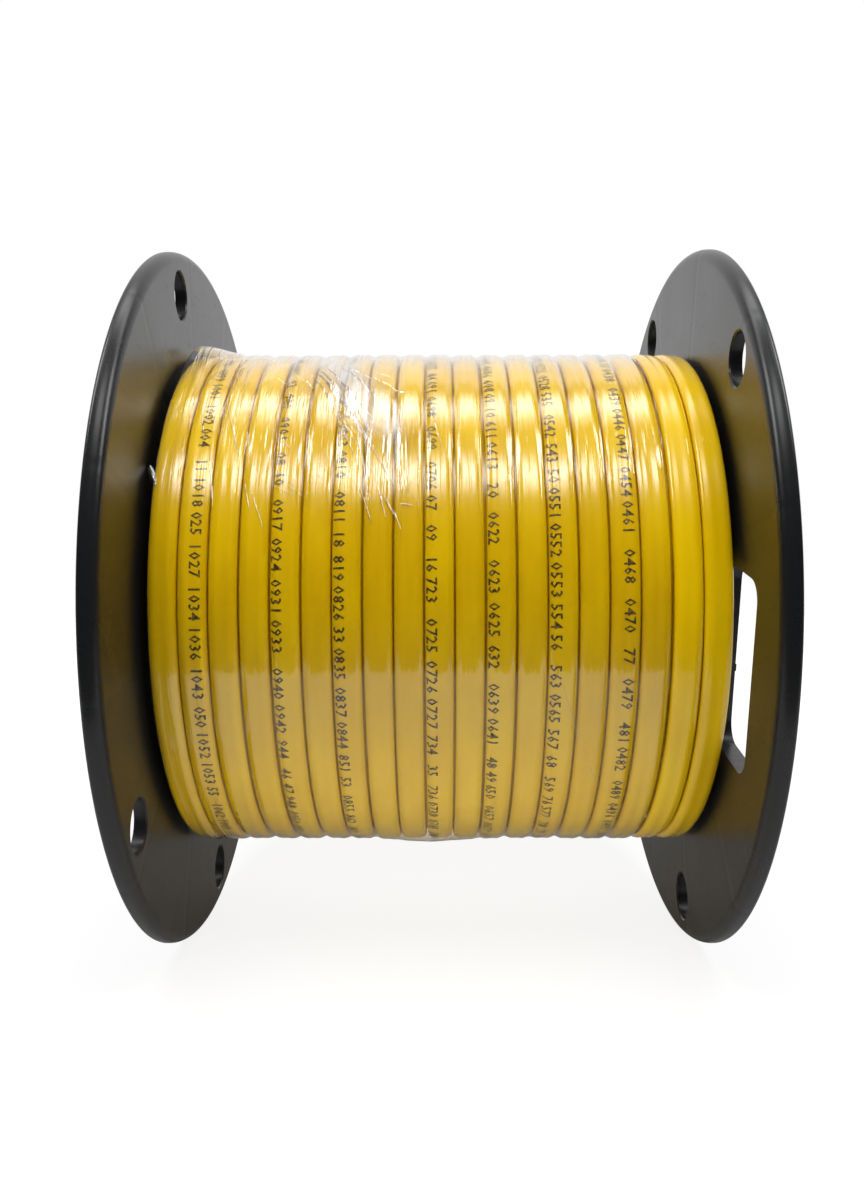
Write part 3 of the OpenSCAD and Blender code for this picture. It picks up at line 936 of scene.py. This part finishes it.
# The rod runs back from the head, which lies at 0, to its tip
def addRod(bm):
    threadFrom, reach = bolt["threadFrom"], bolt["tip"] - bolt["threadFrom"]
    count = math.ceil(reach / (bolt["pitch"] / bolt["rowsPerPitch"]))
    places = [-bolt["headSeat"], 0, threadFrom]
    places += [threadFrom + reach * (i + 1) / count for i in range(count)]
    rod = sheetGrid(len(places), bolt["around"], "rod")
    for vert in rod.verts:
        row = round(vert.co.x * len(places))
        angle = 2 * pi * vert.co.y
        x = places[min(row, len(places) - 1)]
        radius = rodRadius(x, angle) if row < len(places) else 0
        vert.co = atAngle(-(x + bolt["headSeat"]), radius, angle)
    sewUp(rod)
    addTo(bm, rod)
    return bm


def nut():
    chamfer, wall, bore, sink = bolt["chamfer"], bolt["wallMark"], bolt["nutBore"], bolt["nutSink"]
    height, face = bolt["nutHeight"], bolt["nutFace"]
    outline = [(0, bore + sink), (0, chamfer), (face, wall), (height - face, wall),
               (height, chamfer), (height, bore + sink), (height - sink, bore), (sink, bore)]
    return sixSided(outline, height, bothEnds=True)


# A ring about the axis with chamfered edges
def ring(low, high, inner, outer, edge, steps):
    bm = bmesh.new()
    outline = [(low + edge, inner), (low, inner + edge), (low, outer - edge), (low + edge, outer),
               (high - edge, outer), (high, outer - edge), (high, inner + edge), (high - edge, inner)]
    turned(bm, outline, steps)
    return bm


def washer():
    return ring(0, bolt["washerThick"], bolt["washerHole"], bolt["washerRadius"], bolt["washerEdge"],
                bolt["steps"])


boltCircle(addRod(boltHead()), "tieBolts", -bolt["headSeat"], -1, "tie_bolts")
boltCircle(washer(), "headWashers", -bolt["washerSeat"], -1, "head_washers")
boltCircle(washer(), "nutWashers", bolt["washerSeat"], 1, "nut_washers")
boltCircle(nut(), "tieNuts", bolt["nutSeat"], 1, "tie_nuts")

liner = {"inner": 19.05 * mm, "edge": 0.6 * mm, "steps": 120}
bore = ring(tubeLow.x, tubeHigh.x, liner["inner"], tubeHigh.z, liner["edge"], liner["steps"])
arborLiner = fromBmesh(bore, "arborLiner", 35)
dress(arborLiner, "arbor", "arbor_grey", "arbor_tube")
print("bolts, nuts, washers and liner ready")


# The cable's outer end: the jacket cut back from its wires

tail = {
    "jacketDegrees": 6.83, "bareDegrees": 1.88, "recessDegrees": 0.9, "wall": 0.84, "rows": 10,
    "wireAside": 2.95 * mm, "wireRadius": 1.55 * mm, "coreRadius": 1.0 * mm, "nylonDegrees": 0.95,
    "around": 20, "rounded": 0.0006, "roundedTo": 0.97,    # in radians along the cable, and as a share
    "wireEasing": 0.0012, "wireEndShare": 0.85, "coreTucks": 0.002,
    "paperHalf": 1.25 * mm, "paperHigh": 1.32 * mm, "paperThick": 0.12 * mm, "paperShort": 0.5,
    "paperCreases": 5, "paperCrease": 0.10, "paperTwist": 9, "paperRagged": 0.0022,
    "paperSteps": (12, 24),
}
jacketEnd = cableEnd + radians(tail["jacketDegrees"])
wireEnd = jacketEnd + radians(tail["bareDegrees"])
wireStart = jacketEnd - radians(tail["recessDegrees"])


# Tubes along the cable. The rows are of angle and radius, where radius 0 closes an end
def buildWires(name, rows, asides, finish, slot, node):
    whole = bmesh.new()
    for aside in asides:
        bm = sheetGrid(len(rows) - 1, tail["around"], "jacket")
        for vert in bm.verts:
            angle, radius = rows[round(vert.co.x * (len(rows) - 1))]
            way = 2 * pi * vert.co.y
            vert.co = cablePoint(angle, aside + radius * cos(way), radius * sin(way))
        sewUp(bm)
        addTo(whole, bm)
    piece = fromBmesh(whole, name, 40)
    return dress(piece, finish, slot, node)


def buildTailJacket():
    reach = jacketEnd - cableEnd
    rows = [(cableEnd + reach * i / tail["rows"], 1) for i in range(tail["rows"] + 1)]
    rows += [(jacketEnd + tail["rounded"], tail["roundedTo"]), (jacketEnd, tail["wall"]),
             (wireStart, tail["wall"])]
    length = reach * cable["path"]
    bm = sheetGrid(len(rows) - 1, cable["around"], "jacket", lambda co: (co.x * length, co.y))
    for vert in bm.verts:
        angle, share = rows[round(vert.co.x * (len(rows) - 1))]
        u, v = jacketSection(vert.co.y)
        vert.co = cablePoint(angle, u * share, v * share)
    sewUp(bm, closeEnds=True)
    piece = fromBmesh(bm, "outerEndJacket", 50)
    return dress(piece, "jacket", "yellow_jacket", "outer_end_jacket")


def wireRows(start, end, radius):
    return [(start, 0), (start, radius), ((start + end) / 2, radius), (end - tail["wireEasing"], radius),
            (end, radius * tail["wireEndShare"]), (end, 0)]


# Paper folded round the ground wire
def buildTailPaper():
    bm = sheetGrid(*tail["paperSteps"], "paper")
    end = wireEnd - radians(tail["paperShort"])
    for vert in bm.verts:
        way = 2 * pi * vert.co.y
        share = vert.co.x
        twisted = tail["paperCreases"] * way + tail["paperTwist"] * share
        crease = 1 + tail["paperCrease"] * cos(twisted)
        angle = wireStart + (end - wireStart) * share + tail["paperRagged"] * sin(3 * way) * share
        vert.co = cablePoint(angle, tail["paperHalf"] * crease * cos(way),
                             tail["paperHigh"] * crease * sin(way))
    sewUp(bm)
    bmesh.ops.solidify(bm, geom=bm.faces[:], thickness=tail["paperThick"])
    piece = fromBmesh(bm, "outerEndPaper", 50)
    return dress(piece, "paper", "kraft_paper", "outer_end_paper")


buildTailJacket()
nylonEnd = jacketEnd + radians(tail["nylonDegrees"])
nylon = wireRows(wireStart, nylonEnd, tail["wireRadius"])
bare = wireRows(nylonEnd - tail["coreTucks"], wireEnd, tail["coreRadius"])
ground = wireRows(wireStart, wireEnd, tail["coreRadius"])
left, right = -tail["wireAside"], tail["wireAside"]
buildWires("outerEndBlackWire", nylon, [left], "blackWire", "black_insulation", "outer_end_black_wire")
buildWires("outerEndWhiteWire", nylon, [right], "whiteWire", "white_insulation", "outer_end_white_wire")
buildWires("outerEndCores", bare, [left, right], "copper", "bare_copper", "outer_end_copper_cores")
buildWires("outerEndGround", ground, [0], "copper", "bare_copper", "outer_end_ground_wire")
buildTailPaper()
print("outer end ready")

# Pieces whose moulded shape is right as it is
for node, finish in (("drum_barrel", "drum"), ("start_end_jacket", "jacket"),
                     ("start_end_black_wire", "blackWire"), ("start_end_white_wire", "whiteWire"),
                     ("start_end_copper_cores", "copper"), ("start_end_ground_wire", "copper"),
                     ("start_end_paper", "paper")):
    nodes[node].data.materials.clear()
    nodes[node].data.materials.append(finishes[finish])


# Floor, light and camera

studio = {
    # the camera sees a darker copy of the floor's paper, so the light falling on it shows only faintly
    # under the painted glow
    "floor": 3.0, "floorWhite": 0.40, "floorSeen": 0.14,
    "glowNear": 0.86, "glowFar": 1.05, "glowReach": (0.3, 0.9),    # painted glow that the camera sees, by distance: weaker near the reel as painted shade, stronger far off
    # the floor glows a little in reflections too: painted light
    "glossGlow": 0.06,
    # a bright strip of floor under the reel glows, painted light that lights the reel from below: where
    # it begins and fades by depth, and how much of it is taken away under the reel as a painted shadow
    "softGlow": 1.4, "softReach": (-0.36, -0.17), "softShadowReach": (-0.20, -0.08), "softShadowShare": 0.65,
    "topBox": {"at": (0, -0.012, 0.68), "size": (0.80, 0.44), "radiance": 4.4, "fade": (0.5, 1)},
    "frontBox": {"at": (0, -0.45, 0.604), "size": (0.60, 0.42), "radiance": 5.3, "fade": (0.5, 1)},
    "leftBox": {"at": (-0.52, -0.20, 0.60), "size": (0.30, 0.60), "radiance": 9.0, "fade": (0.6, 0.6)},
    "rightBox": {"at": (0.52, -0.20, 0.60), "size": (0.30, 0.60), "radiance": 9.0, "fade": (0.6, 0.6)},
    "overhead": {"at": (0, -0.66, 1.25), "size": (1.2, 1.0), "radiance": 7.7},
    "fill": {"at": (0, -1.6, 0.35), "size": (1.6, 1.2), "radiance": 0.1},
    "card": {"from": -0.31, "to": -3.0, "above": 0.5 * mm},  # a black sheet on the near floor, hidden from the camera: painted shade in the reel's reflections and in the light bounced up from the floor
    "dark": 0.012, "bright": 0.9, "brightFrom": 0.28, "brightTo": 0.52,
}


# A box with a fade, the shares of its half sizes over which it dims outwards, is only for gloss
def softBox(name, at, size, radiance, fade=()):
    lamp = bpy.data.lights.new(name, "AREA")
    lamp.shape = "RECTANGLE"
    lamp.size, lamp.size_y = size
    lamp.energy = radiance * pi * size[0] * size[1]
    holder = bpy.data.objects.new(name, lamp)
    holder.location = at
    facing = (-Vector(at)).to_track_quat("-Z", "Y")
    holder.rotation_euler = facing.to_euler()
    holder.visible_camera = False
    holder.visible_glossy = bool(fade)
    holder.visible_diffuse = not fade
    scene.collection.objects.link(holder)
    if fade:
        lamp.use_nodes = True
        graph = Graph(lamp.node_tree)
        here = graph.node("NewGeometry", {}, {}, output="Position")
        offset = graph.node("VectorMath", {"operation": "SUBTRACT"}, {0: here, 1: at})
        level = 1
        for axis, length, dims in zip(((1, 0, 0), (0, 1, 0)), size, fade):
            along = graph.node("VectorMath", {"operation": "DOT_PRODUCT"},
                               {0: offset, 1: tuple(facing @ Vector(axis))}, output="Value")
            level = (1 - along.size().ramp(length / 2 * (1 - dims), length / 2)) ** 2 * level
        graph.feed(lamp.node_tree.nodes["Emission"].inputs["Strength"], level)


for box in ("topBox", "frontBox", "leftBox", "rightBox", "overhead", "fill"):
    softBox(box, **studio[box])


# A flat sheet as wide as the floor, from one place in depth to another
def layDown(name, near, far, above=0):
    bm = bmesh.new()
    bmesh.ops.create_grid(bm, x_segments=1, y_segments=1, size=0.5)
    bmesh.ops.scale(bm, verts=bm.verts, vec=(2 * studio["floor"], abs(far - near), 1))
    bmesh.ops.translate(bm, verts=bm.verts, vec=(0, (near + far) / 2, flangeLow.z + above))
    return fromBmesh(bm, name)


floor = layDown("floor", -studio["floor"], studio["floor"])
paper = Finish("floorWhite", Roughness=0.9)
patches = paper.cloud(paper.place(), 3, 2)
seenByCamera = paper.node("LightPath", {}, {}, output="Is Camera Ray")
inGloss = paper.node("LightPath", {}, {}, output="Is Glossy Ray")
paper.shader.inputs["Emission Strength"].default_value = 1
# the floor's glow for the camera is painted light, weaker near the reel as painted shade round it
away = paper.node("VectorMath", {"operation": "LENGTH"}, {0: paper.place()}, output="Value")
near, far = grey(studio["glowNear"]), grey(studio["glowFar"])
glow = paper.blend(away.ramp(*studio["glowReach"]), near, far)
white = studio["floorWhite"]
depth = paper.split(paper.place())[1]
# the strip's painted light, dimmed under the reel as a painted shadow of it
share = depth.ramp(*studio["softReach"]) * (1 - depth.ramp(*studio["softShadowReach"]) * studio["softShadowShare"])
below = paper.blend(share, grey(0), grey(studio["softGlow"]))
# reflections see the floor's small painted glow, all other light sees the glowing strip
unseen = paper.blend(inGloss, below, grey(studio["glossGlow"]))
lit = paper.blend(patches, grey(white), rgb(white, white, 0.99 * white))
paper.drive(Base_Color=paper.blend(seenByCamera, lit, grey(studio["floorSeen"])),
            Emission_Color=paper.blend(seenByCamera, unseen, glow))
floor.data.materials.append(paper.material)

# painted shade: a black sheet that only reflections and bounced light see
card = studio["card"]
paintedShadeCard = layDown("paintedShadeCard", card["to"], card["from"], card["above"])
paintedShadeCard.data.materials.append(Finish("paintedShadeBlack", Base_Color=grey(0.01), Roughness=0.9).material)
paintedShadeCard.visible_camera = False
paintedShadeCard.visible_shadow = False

world = bpy.data.worlds.new("studio")
scene.world = world
world.use_nodes = True
sky = Graph(world.node_tree)
behind = sky.split(sky.node("TexCoord", {}, {}, output="Generated"))[1]
shade = behind.ramp(studio["brightFrom"], studio["brightTo"], studio["dark"], studio["bright"])
seen = sky.node("LightPath", {}, {}, output="Is Camera Ray")
background = sky.tree.nodes["Background"]
background.inputs["Color"].default_value = (1, 1, 1, 1)
sky.feed(background.inputs["Strength"], sky.node("Mix", {}, {0: seen, 2: shade, 3: 1.0}))

view = {"lens": 30.60, "sensor": 36, "at": (0, -0.46856, 0.0129), "clipStart": 0.01,
        "down": 0.0232, "roll": 0.0026, "turn": 0.0068, "bounces": 10}
camera = bpy.data.objects.new("camera", bpy.data.cameras.new("camera"))
camera.data.lens = view["lens"]
camera.data.sensor_width = view["sensor"]
camera.data.clip_start = view["clipStart"]
camera.location = view["at"]
camera.rotation_euler = (pi / 2 - view["down"], view["roll"], view["turn"])
scene.collection.objects.link(camera)
bpy.context.scene.camera = camera
scene.view_settings.view_transform = "Standard"
scene.cycles.use_denoising = True
scene.cycles.max_bounces = view["bounces"]
scene.cycles.transparent_max_bounces = view["bounces"]
print("studio ready")
